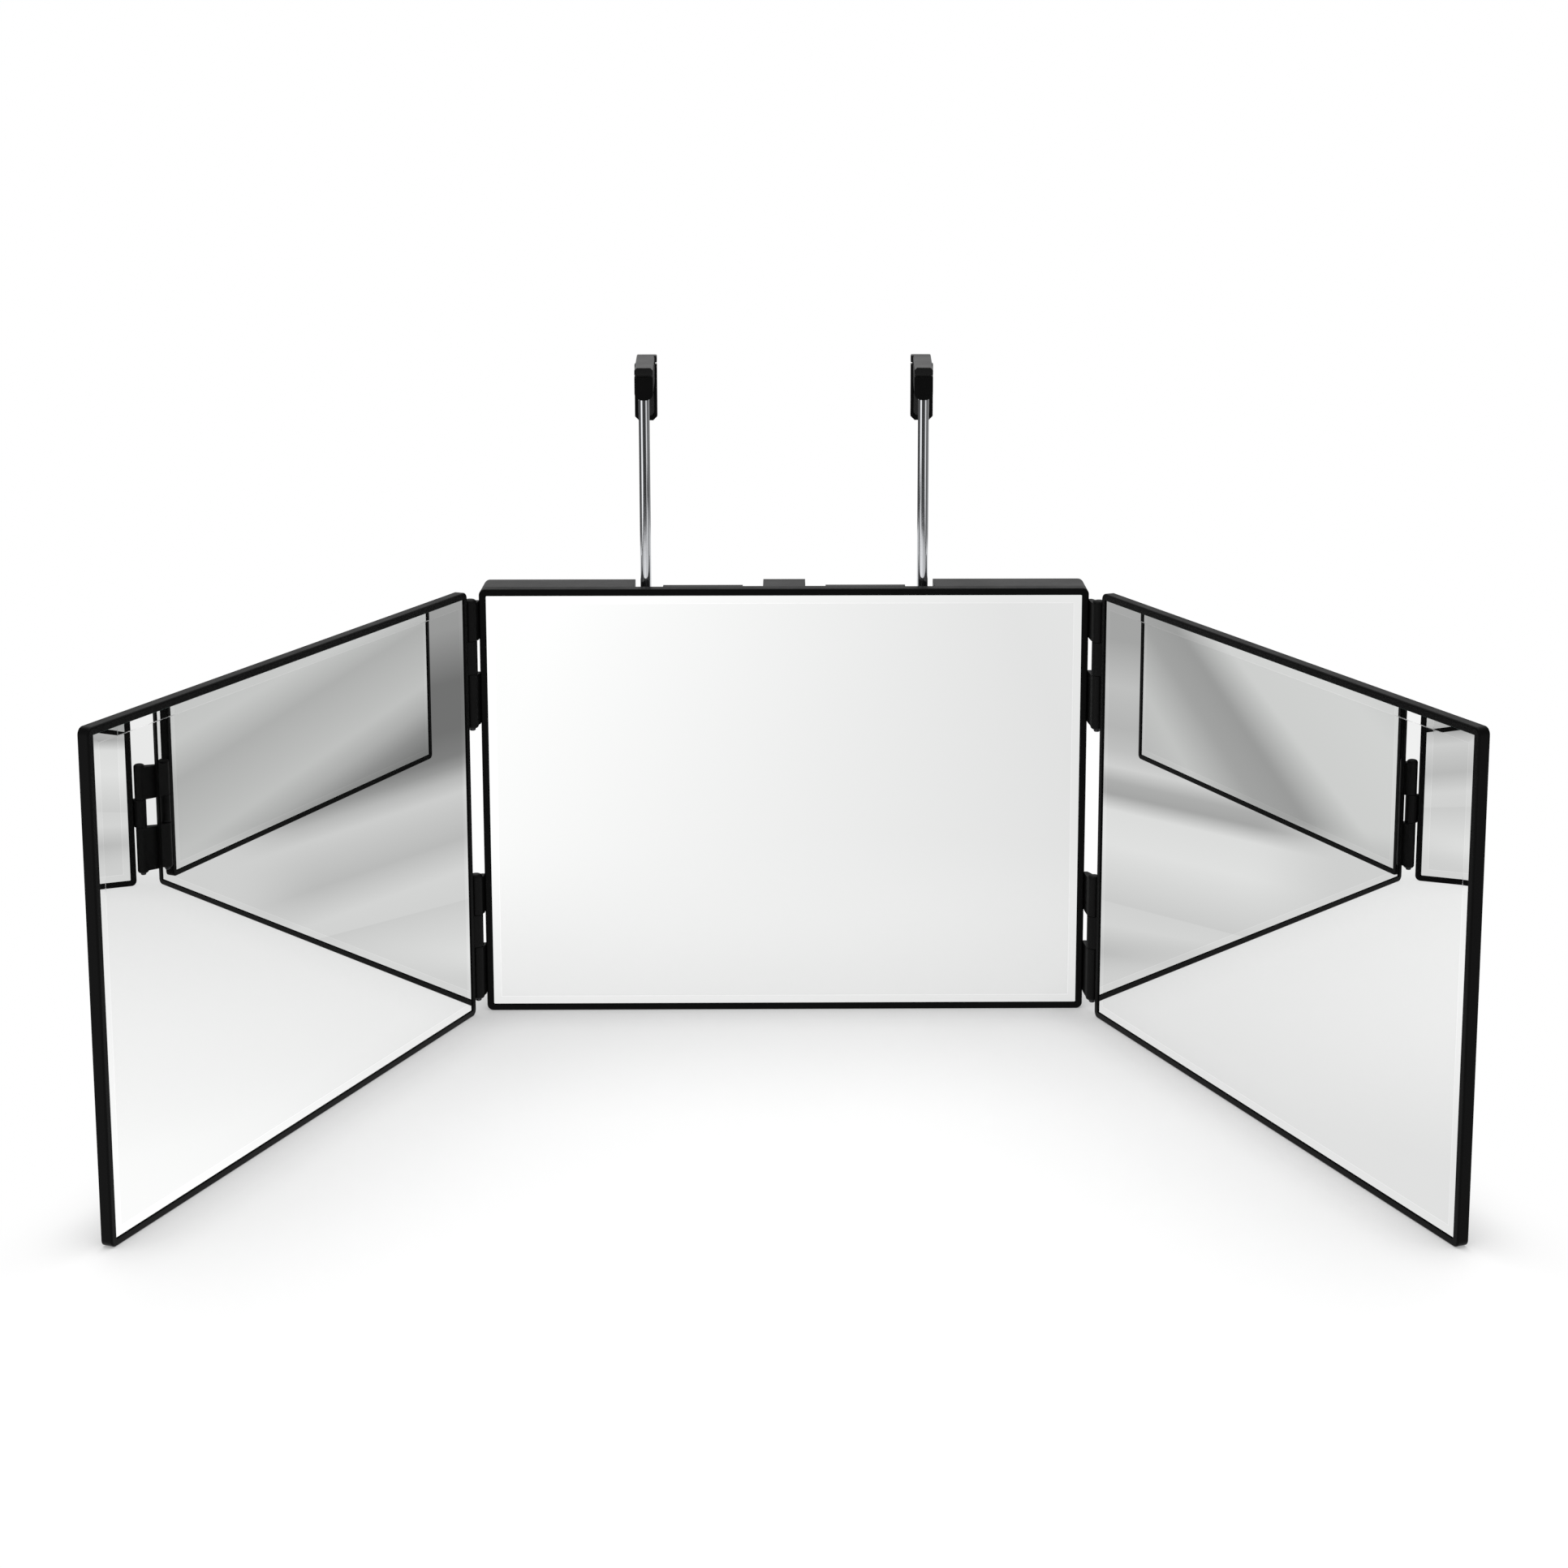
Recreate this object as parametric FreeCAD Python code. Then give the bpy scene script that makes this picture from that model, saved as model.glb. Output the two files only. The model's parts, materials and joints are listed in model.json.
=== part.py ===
import FreeCAD, Part
import math
import os

# A trifold vanity mirror: a deep centre panel with a wing panel hinged to each side, and two
# rods with hooks that pull up out of the centre panel's back to hang it over a door.
# Millimetres. +Z is up, +X is to the viewer's right, +Y points away from the viewer.
# The origin is the middle of the centre panel's base, which stands on Z = 0.

os.makedirs("parts", exist_ok=True)

# ---- panels ----
panel_width = 290.0
panel_height = 209.0
corner_radius = 3.0
edge_round = 0.8
rim_width = 3.0
rim_proud = 0.6            # the rim stands this far in front of the glass
glass_thickness = 2.0
glass_gap = 0.2            # all round the glass, to the rim
bevel_width = 3.8
bevel_drop = 0.8
tape_thickness = 0.3
tape_margin = 6.0          # the adhesive sheet stays this far inside the glass
floor_thickness = 2.1

# ---- centre unit ----
frame_depth = 6.4          # front frame of the centre unit, front of rim to back
unit_depth = 26.5          # the whole centre unit, front of rim to back
housing_wall = 2.0
housing_round = 1.5
locating_lip = 1.0
locating_wall = 1.2
locating_gap = 0.15

# ---- hook recess along the top of the housing, each side of the middle ----
tab_half_width = 10.1
tab_round = 2.0
pocket_outer = 19.8        # the leg's pocket lies between the tab and here
shelf_outer = 57.8         # the shelf wall ends here and the rod's notch starts
notch_outer = 71.9
shelf_depth = 10.6         # back of the shelf wall, from the front of the rim
pocket_wall_depth = 7.6    # back of the thinner wall in front of the leg's pocket
stow_gap = 0.5             # between a stowed hook and what is below it

# ---- rods and their guides ----
rod_x = 66.4
rod_depth = 16.5           # rod axis, from the front of the rim
rod_radius = 2.6
rod_exposed = 88.7         # rod between the panel's top and the hook, at rest
rod_floor_gap = 8.0        # left under the rod when it is pushed right down
journal_radius = 2.1
spigot_radius = 1.8
stop_length = 8.0
tube_radius = 4.1
tube_bore = 3.3
bush_flange_radius = 4.6
bush_flange = 1.0
bush_length = 10.0
boss_wall = 1.6
boss_length = 8.0
saddle_thickness = 2.0
saddle_pitch = 60.0
slide_clearance = 0.05     # radial, rod in bush, stop in tube, hook on journal
seat_clearance = 0.02      # radial, fixed pieces that push together

# ---- hooks ----
bar_width = 8.8
bar_height = 15.3
bar_front = 4.0            # from the rod's axis to the bar's front end
hook_reach = 55.6          # from the rod's axis to the leg's outer face
leg_width = 11.0
leg_thickness = 6.5
leg_drop = 16.7            # leg below the bar
bar_round = 3.2            # along the bar's underside
leg_chamfer = 2.0
cap_height = 4.4
cap_chamfer = 1.2          # at the pivot, narrowing to the next value over the leg
cap_chamfer_leg = 0.4
seam_height = 1.0
seam_inset = 0.8
toe_out = 1.8              # degrees that each hook's leg points outwards, as it hangs
bearing_length = 6.0       # journal length inside the bar
clip_radius = 3.0
clip_thickness = 0.7
clip_gap = 0.1
groove_radius = 1.6
cavity_radius = 3.3
journal_tip = 1.2
pad_thickness = 1.3
pad_proud = 0.5
pad_width = 8.0
pad_height = 12.0
pad_margin = 2.5

# ---- hinges ----
fold_angle = 67.0          # each wing, turned forward from lying flat beside the centre
hinge_reach = 4.0          # from the hinge's axis to the edge of either panel
wing_setback = 1.0         # from the wing's front back to the hinge's axis
closed_gap = 0.5           # between the left wing's rim and the centre's, folded shut
layer_gap = 0.6            # between the right wing's rim and the left wing's back
free_edge_gap = 1.0        # a wing is this much narrower than the centre
barrel_radius = 3.1
barrel_dome = 1.6
pin_radius = 1.0
pin_clearance = 0.05
lower_knuckle = 26.3
wing_knuckle = 15.8
upper_knuckle = 20.0
knuckle_gap = 0.3
hinge_margin_low = 7.0
hinge_margin_high = 4.3
nub_height = 1.2
nub_radius = 1.5
pin_top_cover = 3.0
arm_gap = 0.2              # between a leaf's arm and the panel's edge
arm_thickness = 1.8
arm_front_gap = 0.1        # the centre leaf's arm starts this far behind the rim's front
wing_arm_front = 0.0       # the wing leaf's arm starts this far behind the hinge's axis
tongue_thickness = 1.2
tongue_length = 12.0
tongue_gap = 0.1
tongue_inset = 1.0         # tongue above and below, inside the ends of the knuckles

# ---- screws ----
small_screw_radius = 1.0
small_head_radius = 1.8
small_screw_inset = 8.0    # from the panel's edge
wing_screw_pitch = 8.0
screw_clearance = 0.05
housing_screw_radius = 1.5
housing_head_radius = 2.8
housing_head_height = 2.2
housing_screw_seat = 11.4  # where the head seats, from the front of the rim
housing_screw_tip = 3.6
screw_post_radius = 4.6
head_clearance = 0.3
screw_margin_side = 24.0
screw_margin_low = 18.0
screw_margin_high = 26.0
middle_screw_x = 30.0
middle_screw_height = 96.0

# ---- places that follow from the sizes ----
half_width = panel_width / 2
panel_depth = rim_proud + glass_thickness + tape_thickness + floor_thickness
glass_back = rim_proud + glass_thickness
floor_front = glass_back + tape_thickness
wing_width = panel_width - free_edge_gap
hinge_x = half_width + hinge_reach
hinge_height = lower_knuckle + wing_knuckle + upper_knuckle + 2 * knuckle_gap
hinge_bases = {"lower": hinge_margin_low, "upper": panel_height - hinge_margin_high - hinge_height}
left_axis_forward = closed_gap + wing_setback
axis_forward = {"left": left_axis_forward, "right": left_axis_forward + panel_depth + layer_gap}
side_sign = {"left": -1, "right": 1}
hook_underside = panel_height + rod_exposed
recess_floor = panel_height - bar_height - stow_gap - bush_flange
pocket_floor = panel_height - bar_height - leg_drop - stow_gap
frame_pocket_top = pocket_floor - housing_wall
stow_travel = rod_exposed + bar_height
rod_bottom = housing_wall + rod_floor_gap + stow_travel
tongue_pocket = tongue_thickness + tongue_gap
skin = floor_thickness - tongue_pocket


def depth(distance):
    """Y of a point this far behind the front of the centre's rim."""
    return distance - unit_depth / 2


rod_y = depth(rod_depth)


# ---- plain shapes ----
def block(x_a, x_b, y_a, y_b, z_a, z_b):
    corner = FreeCAD.Vector(min(x_a, x_b), min(y_a, y_b), min(z_a, z_b))
    return Part.makeBox(abs(x_b - x_a), abs(y_b - y_a), abs(z_b - z_a), corner)


def upright(x, y, z_a, z_b, radius):
    return Part.makeCylinder(radius, z_b - z_a, FreeCAD.Vector(x, y, z_a), FreeCAD.Vector(0, 0, 1))


def crosswise(x, z, y_a, y_b, radius):
    return Part.makeCylinder(radius, y_b - y_a, FreeCAD.Vector(x, y_a, z), FreeCAD.Vector(0, 1, 0))


def prism(points, z_a, z_b):
    corners = [FreeCAD.Vector(x, y, z_a) for x, y in points]
    outline = Part.makePolygon(corners + corners[:1])
    return Part.Face(outline).extrude(FreeCAD.Vector(0, 0, z_b - z_a))


def edges_along(shape, direction, keep=lambda centre: True):
    """The straight edges that run along a direction, where keep accepts their middle."""
    found = []
    for edge in shape.Edges:
        along = edge.tangentAt(edge.FirstParameter).cross(direction).Length
        straight = edge.Curve.TypeId == "Part::GeomLine"
        if straight and along < 1e-6 and keep(edge.CenterOfMass):
            found.append(edge)
    return found


def edges_on_plane(shape, y):
    """The edges that lie in the plane at this Y."""
    return [edge for edge in shape.Edges if abs(edge.BoundBox.YMin - y) + abs(edge.BoundBox.YMax - y) < 1e-4]


def rounded_block(x_a, x_b, y_a, y_b, z_a, z_b, radius):
    """A block whose four edges along Y are rounded."""
    body = block(x_a, x_b, y_a, y_b, z_a, z_b)
    return body.makeFillet(radius, edges_along(body, FreeCAD.Vector(0, 1, 0)))


def ring(x, y, z_a, z_b, outer, inner):
    return upright(x, y, z_a, z_b, outer).cut(upright(x, y, z_a, z_b, inner))


def joined(pieces):
    whole = pieces[0].fuse(pieces[1:]) if len(pieces) > 1 else pieces[0]
    return whole.removeSplitter()


def tangent_point(point, radius, turn):
    """Where a line from the point touches the circle about the origin, on the side turn says."""
    angle = math.atan2(point[1], point[0]) + turn * math.acos(radius / math.hypot(*point))
    return radius * math.cos(angle), radius * math.sin(angle)


# ---- one panel: tray, glass and adhesive sheet; front is the Y of its rim ----
def panel_tray(x_a, x_b, front, tray_depth):
    x_low, x_high = sorted((x_a, x_b))
    tray = rounded_block(x_low, x_high, front, front + tray_depth, 0, panel_height, corner_radius)
    tray = tray.makeFillet(edge_round, edges_on_plane(tray, front))
    pocket = block(
        x_low + rim_width, x_high - rim_width, front, front + floor_front,
        rim_width, panel_height - rim_width,
    )
    return tray.cut(pocket)


def panel_glass(x_a, x_b, front):
    """A plate with a shallow bevel ground round its front face."""
    x_low, x_high = sorted((x_a, x_b))
    inset = rim_width + glass_gap
    base_front = front + rim_proud + bevel_drop
    base = block(
        x_low + inset, x_high - inset, base_front, front + glass_back, inset, panel_height - inset
    )
    outlines = []
    for y, step in ((base_front, 0), (front + rim_proud, bevel_width)):
        left, right = x_low + inset + step, x_high - inset - step
        low, high = inset + step, panel_height - inset - step
        around = ((left, low), (right, low), (right, high), (left, high))
        corners = [FreeCAD.Vector(x, y, z) for x, z in around]
        outlines.append(Part.makePolygon(corners + corners[:1]))
    return joined([base, Part.makeLoft(outlines, True, True)])


def panel_tape(x_a, x_b, front):
    x_low, x_high = sorted((x_a, x_b))
    inset = rim_width + tape_margin + tongue_length
    return block(
        x_low + inset, x_high - inset, front + glass_back, front + floor_front,
        rim_width + tape_margin, panel_height - rim_width - tape_margin,
    )


# ---- small countersunk screws, driven from behind through a panel's skin ----
def small_screw(x, z, back, extra):
    """A screw, or with extra its clearance hole; back is the Y of the face it is driven from."""
    head = Part.makeCone(
        small_screw_radius + extra, small_head_radius + extra, skin,
        FreeCAD.Vector(x, back - skin, z), FreeCAD.Vector(0, 1, 0),
    )
    shank = crosswise(x, z, back - skin - tongue_thickness, back - skin, small_screw_radius + extra)
    return joined([head, shank])


# ---- hinges: places are worked out from the axis, x towards the leaf's panel, y backwards ----
def barrel(z_a, z_b, domed_low, domed_high, bore):
    """One knuckle about the Z axis, with a rounded end where it ends the hinge."""
    body = upright(0, 0, z_a, z_b, barrel_radius)
    ends = []
    if domed_low:
        ends += [edge for edge in body.Edges if edge.BoundBox.ZMax < z_a + 1e-4]
    if domed_high:
        ends += [edge for edge in body.Edges if edge.BoundBox.ZMin > z_b - 1e-4]
    if ends:
        body = body.makeFillet(barrel_dome, ends)
    top = z_b - pin_top_cover if domed_high else z_b
    return body, upright(0, 0, z_a, top, bore)


def leaf(knuckles, arm_front, tongue_front, tongue_z, bore):
    """Knuckles with arms to the panel's edge and one tongue let into the panel's floor.

    knuckles holds (low, high, domed low, domed high); the other places are from the axis.
    """
    tongue_back = tongue_front + tongue_thickness
    arm_end = hinge_reach - arm_gap
    front_corner = (arm_end, arm_front)
    back_corner = (arm_end, tongue_back)
    outer_corner = (arm_end - arm_thickness, tongue_back)
    outline = [
        (0, 0),
        tangent_point(front_corner, barrel_radius, -1),
        front_corner,
        back_corner,
        outer_corner,
        tangent_point(outer_corner, barrel_radius, 1),
    ]
    pieces, bores = [], []
    for low, high, domed_low, domed_high in knuckles:
        body, hole = barrel(low, high, domed_low, domed_high, bore)
        arm_low = low + barrel_dome if domed_low else low
        arm_high = high - barrel_dome if domed_high else high
        pieces += [body, prism(outline, arm_low, arm_high)]
        # the tongue's root crosses the small gap between arm and panel only beside a knuckle
        pieces.append(block(
            arm_end - arm_thickness, hinge_reach, tongue_front, tongue_back,
            max(arm_low, tongue_z[0]), min(arm_high, tongue_z[1]),
        ))
        bores.append(hole)
    pieces.append(block(hinge_reach, hinge_reach + tongue_length, tongue_front, tongue_back, *tongue_z))
    return joined(pieces).cut(bores)


def centre_leaf(side, base):
    forward = axis_forward[side]
    low_end = base + lower_knuckle
    high_start = low_end + wing_knuckle + 2 * knuckle_gap
    top = base + hinge_height
    knuckles = ((base, low_end, True, False), (high_start, top, False, True))
    tongue_z = (base + barrel_dome + tongue_inset, top - barrel_dome - tongue_inset)
    shape = leaf(
        knuckles, forward + arm_front_gap, forward + floor_front + tongue_gap, tongue_z,
        pin_radius + seat_clearance,
    )
    screws = [low_end - lower_knuckle / 2, high_start + upper_knuckle / 2]
    return shape, tongue_z, screws


def wing_leaf(base):
    low = base + lower_knuckle + knuckle_gap
    high = low + wing_knuckle
    tongue_z = (low + tongue_inset, high - tongue_inset)
    shape = leaf(
        ((low, high, False, False),), wing_arm_front, floor_front + tongue_gap - wing_setback,
        tongue_z, pin_radius + pin_clearance,
    )
    middle = (low + high) / 2
    screws = [middle - wing_screw_pitch / 2, middle + wing_screw_pitch / 2]
    return shape, tongue_z, screws


def hinge_pin(base):
    shaft = upright(0, 0, base, base + hinge_height - pin_top_cover, pin_radius)
    nub = upright(0, 0, base - nub_height, base, nub_radius)
    low_edges = [edge for edge in nub.Edges if edge.BoundBox.ZMax < base - nub_height + 1e-4]
    nub = nub.makeFillet(nub_height / 2, low_edges)
    return joined([shaft, nub])


def to_centre(shape, side):
    """Places a leaf or pin made about the Z axis beside the centre panel."""
    placed = shape if side_sign[side] < 0 else shape.mirror(FreeCAD.Vector(), FreeCAD.Vector(1, 0, 0))
    placed = placed.copy()
    placed.translate(FreeCAD.Vector(side_sign[side] * hinge_x, depth(-axis_forward[side]), 0))
    return placed


def folded(shape, side):
    """Turns a piece of a wing from flat beside the centre to its resting angle."""
    turned = shape.copy()
    axis_point = FreeCAD.Vector(side_sign[side] * hinge_x, depth(-axis_forward[side]), 0)
    turned.rotate(axis_point, FreeCAD.Vector(0, 0, 1), -side_sign[side] * fold_angle)
    return turned


def tongue_slot(edge_x, inward, front, tongue_z):
    """The pocket for a tongue in a tray's floor, open through the rim at the tray's edge."""
    return block(
        edge_x, edge_x + inward * (tongue_length + tongue_gap),
        front + floor_front, front + floor_front + tongue_pocket,
        tongue_z[0] - tongue_gap, tongue_z[1] + tongue_gap,
    )


# ---- a wing: everything on it is made flat beside the centre, then folded ----
def wing_nodes(side):
    sign = side_sign[side]
    front = depth(-axis_forward[side] - wing_setback)
    inner_x = sign * (hinge_x + hinge_reach)
    outer_x = inner_x + sign * wing_width
    tray = panel_tray(inner_x, outer_x, front, panel_depth)
    nodes = {}
    screws, cuts = [], []
    for name, base in hinge_bases.items():
        shape, tongue_z, heights = wing_leaf(base)
        outward = shape.mirror(FreeCAD.Vector(), FreeCAD.Vector(1, 0, 0))
        nodes[f"{side}_{name}_wing_leaf"] = to_centre(outward, side)
        cuts.append(tongue_slot(inner_x, sign, front, tongue_z))
        for z in heights:
            x = inner_x + sign * small_screw_inset
            screws.append(small_screw(x, z, front + panel_depth, 0))
            hole = small_screw(x, z, front + panel_depth, screw_clearance)
            cuts.append(hole)
            nodes[f"{side}_{name}_wing_leaf"] = nodes[f"{side}_{name}_wing_leaf"].cut(hole)
    nodes[f"{side}_wing_frame"] = tray.cut(cuts)
    nodes[f"{side}_wing_mirror"] = panel_glass(inner_x, outer_x, front)
    nodes[f"{side}_wing_mirror_tape"] = panel_tape(inner_x, outer_x, front)
    nodes[f"{side}_wing_hinge_screws"] = Part.makeCompound(screws)
    return {name: folded(shape, side) for name, shape in nodes.items()}


# ---- the centre's front frame with its hinge leaves, pins and screws ----
def housing_screw_places():
    high = panel_height - screw_margin_high
    side_x = half_width - screw_margin_side
    places = [(side_x, screw_margin_low), (side_x, high), (middle_screw_x, middle_screw_height)]
    return [(sign * x, z) for sign in (-1, 1) for x, z in places]


def centre_nodes():
    front = depth(0)
    frame = panel_tray(-half_width, half_width, front, frame_depth)
    hollow = block(
        rim_width - half_width, half_width - rim_width, depth(panel_depth), depth(frame_depth),
        rim_width, frame_pocket_top,
    )
    posts = [crosswise(x, z, depth(panel_depth), depth(frame_depth), screw_post_radius)
             for x, z in housing_screw_places()]
    frame = frame.cut(hollow.cut(posts))
    pilot_radius = housing_screw_radius + seat_clearance
    pilots = [crosswise(x, z, depth(housing_screw_tip), depth(frame_depth), pilot_radius)
              for x, z in housing_screw_places()]
    nodes = {}
    screws, cuts = [], []
    for side, sign in side_sign.items():
        for name, base in hinge_bases.items():
            shape, tongue_z, heights = centre_leaf(side, base)
            node = to_centre(shape, side)
            cuts.append(tongue_slot(sign * half_width, -sign, front, tongue_z))
            for z in heights:
                x = sign * (half_width - small_screw_inset)
                screws.append(small_screw(x, z, depth(panel_depth), 0))
                hole = small_screw(x, z, depth(panel_depth), screw_clearance)
                # the driver reaches the head through the frame's back
                reach = crosswise(
                    x, z, depth(panel_depth), depth(frame_depth), small_head_radius + screw_clearance
                )
                cuts += [hole, reach]
                node = node.cut(hole)
            nodes[f"{side}_{name}_centre_leaf"] = node
            nodes[f"{side}_{name}_hinge_pin"] = to_centre(hinge_pin(base), side)
    nodes["centre_frame"] = frame.cut(pilots + cuts)
    nodes["centre_mirror"] = panel_glass(-half_width, half_width, front)
    nodes["centre_mirror_tape"] = panel_tape(-half_width, half_width, front)
    nodes["centre_hinge_screws"] = Part.makeCompound(screws)
    return nodes


# ---- the back housing, with the recess that the folded hooks lie in ----
def recess_side(sign):
    """What is cut away for one hook: the rod's notch, the bar's shelf and the leg's pocket."""
    back = depth(unit_depth)
    notch = block(
        sign * shelf_outer, sign * notch_outer, depth(frame_depth), back, recess_floor, panel_height
    )
    shelf = block(
        sign * pocket_outer, sign * shelf_outer, depth(shelf_depth), back, recess_floor, panel_height
    )
    pocket = block(
        sign * tab_half_width, sign * pocket_outer, depth(pocket_wall_depth), back,
        pocket_floor, panel_height,
    )
    # the tab between the two pockets has rounded back corners
    round_x = sign * (tab_half_width - tab_round)
    corner = block(round_x, sign * tab_half_width, back - tab_round, back, pocket_floor, panel_height)
    corner = corner.cut(upright(round_x, back - tab_round, pocket_floor, panel_height, tab_round))
    return [notch, shelf, pocket, corner]


def recess_liner(sign):
    """The block of plastic that the recess is moulded into, one wall thicker than the recess."""
    back = depth(unit_depth)
    inner_x = sign * (tab_half_width - housing_wall)
    along = block(
        inner_x, sign * (notch_outer + housing_wall), depth(frame_depth), back,
        recess_floor - housing_wall, panel_height,
    )
    deep = block(
        inner_x, sign * (pocket_outer + housing_wall), depth(frame_depth), back,
        pocket_floor - housing_wall, panel_height,
    )
    return [along, deep]


def back_housing():
    back = depth(unit_depth)
    shell = rounded_block(-half_width, half_width, depth(frame_depth), back, 0, panel_height, corner_radius)
    shell = shell.makeFillet(housing_round, edges_on_plane(shell, back))
    inside_back = back - housing_wall
    inside = block(
        housing_wall - half_width, half_width - housing_wall, depth(frame_depth), inside_back,
        housing_wall, panel_height - housing_wall,
    )
    kept, holes = [], []
    for sign in (-1, 1):
        x = sign * rod_x
        post = tube_radius + boss_wall
        boss_top = recess_floor - housing_wall
        kept += recess_liner(sign)
        kept.append(upright(x, rod_y, boss_top - boss_length, boss_top, post))
        kept.append(upright(x, rod_y, housing_wall, housing_wall + boss_length, post))
        # saddles hold the guide tube between its ends, as many as its length takes
        count = int((boss_top - 2 * boss_length) // saddle_pitch)
        for step in range(1, count + 1):
            z = step * boss_top / (count + 1)
            kept.append(block(
                x - post, x + post, rod_y - tube_radius, inside_back,
                z - saddle_thickness / 2, z + saddle_thickness / 2,
            ))
        holes.append(upright(x, rod_y, housing_wall, recess_floor, tube_radius + seat_clearance))
        holes += recess_side(sign)
    for x, z in housing_screw_places():
        kept.append(crosswise(x, z, depth(frame_depth), back, screw_post_radius))
        holes.append(crosswise(
            x, z, depth(frame_depth), depth(housing_screw_seat), housing_screw_radius + screw_clearance
        ))
        holes.append(crosswise(x, z, depth(housing_screw_seat), back, housing_head_radius + head_clearance))
    shell = shell.cut(inside.cut(kept))
    # a lip inside the front edge locates the housing in the frame's back
    lip_reach = half_width - rim_width - locating_gap
    lip_top = frame_pocket_top - locating_gap
    lip_low = rim_width + locating_gap
    lip_front = depth(frame_depth - locating_lip)
    outer = block(-lip_reach, lip_reach, lip_front, depth(frame_depth), lip_low, lip_top)
    inner = block(
        locating_wall - lip_reach, lip_reach - locating_wall,
        lip_front, depth(frame_depth), lip_low + locating_wall, lip_top,
    )
    root = block(
        -lip_reach, lip_reach, depth(frame_depth), depth(frame_depth + locating_lip), housing_wall, lip_top
    )
    inner_root = block(
        locating_wall - lip_reach, lip_reach - locating_wall,
        depth(frame_depth), depth(frame_depth + locating_lip), lip_low + locating_wall, lip_top,
    )
    lip = joined([outer.cut(inner), root.cut(inner_root)])
    return joined([shell, lip]).cut(holes)


def housing_screws():
    screws = []
    for x, z in housing_screw_places():
        seat = depth(housing_screw_seat)
        shank = crosswise(x, z, depth(housing_screw_tip), seat, housing_screw_radius)
        head = crosswise(x, z, seat, seat + housing_head_height, housing_head_radius)
        screws.append(joined([shank, head]))
    return Part.makeCompound(screws)


# ---- rods, guide tubes and bushes ----
def guide_nodes(side):
    x = side_sign[side] * rod_x
    bush_bottom = recess_floor - bush_length
    tube = ring(x, rod_y, housing_wall, recess_floor, tube_radius, tube_bore)
    bush = ring(
        x, rod_y, bush_bottom, recess_floor, tube_bore - seat_clearance, rod_radius + slide_clearance
    )
    flange = ring(
        x, rod_y, recess_floor, recess_floor + bush_flange, bush_flange_radius, rod_radius + slide_clearance
    )
    return {f"{side}_guide_tube": tube, f"{side}_rod_bush": joined([bush, flange])}


def rod_nodes(side):
    x = side_sign[side] * rod_x
    shoulder = rod_bottom + stop_length
    clip_low = hook_underside + bearing_length
    clip_high = clip_low + clip_thickness
    tip = clip_high + clip_gap + journal_tip
    rod = joined([
        upright(x, rod_y, rod_bottom, shoulder, spigot_radius),
        upright(x, rod_y, shoulder, hook_underside, rod_radius),
        upright(x, rod_y, hook_underside, tip, journal_radius),
    ])
    groove = ring(x, rod_y, clip_low, clip_high + clip_gap, rod_radius, groove_radius)
    stop = ring(x, rod_y, rod_bottom, shoulder, tube_bore - slide_clearance, spigot_radius + seat_clearance)
    clip = ring(x, rod_y, clip_low, clip_high, clip_radius, groove_radius + seat_clearance)
    mouth = block(x - groove_radius, x + groove_radius, rod_y, rod_y + clip_radius, clip_low, clip_high)
    return {
        f"{side}_rod": rod.cut(groove),
        f"{side}_rod_stop": stop,
        f"{side}_swivel_clip": clip.cut(mouth),
    }


# ---- hooks: a bar that turns on the rod, a leg behind the door and a cap over the pivot ----
def lid_outline(x, y, half, low, high, cut):
    """Across the cap at one place: a rectangle whose two upper corners are cut."""
    corners = (
        (-half, low), (half, low), (half, high - cut),
        (half - cut, high), (cut - half, high), (-half, high - cut),
    )
    points = [FreeCAD.Vector(x + across, y, z) for across, z in corners]
    return Part.makePolygon(points + points[:1])


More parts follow.
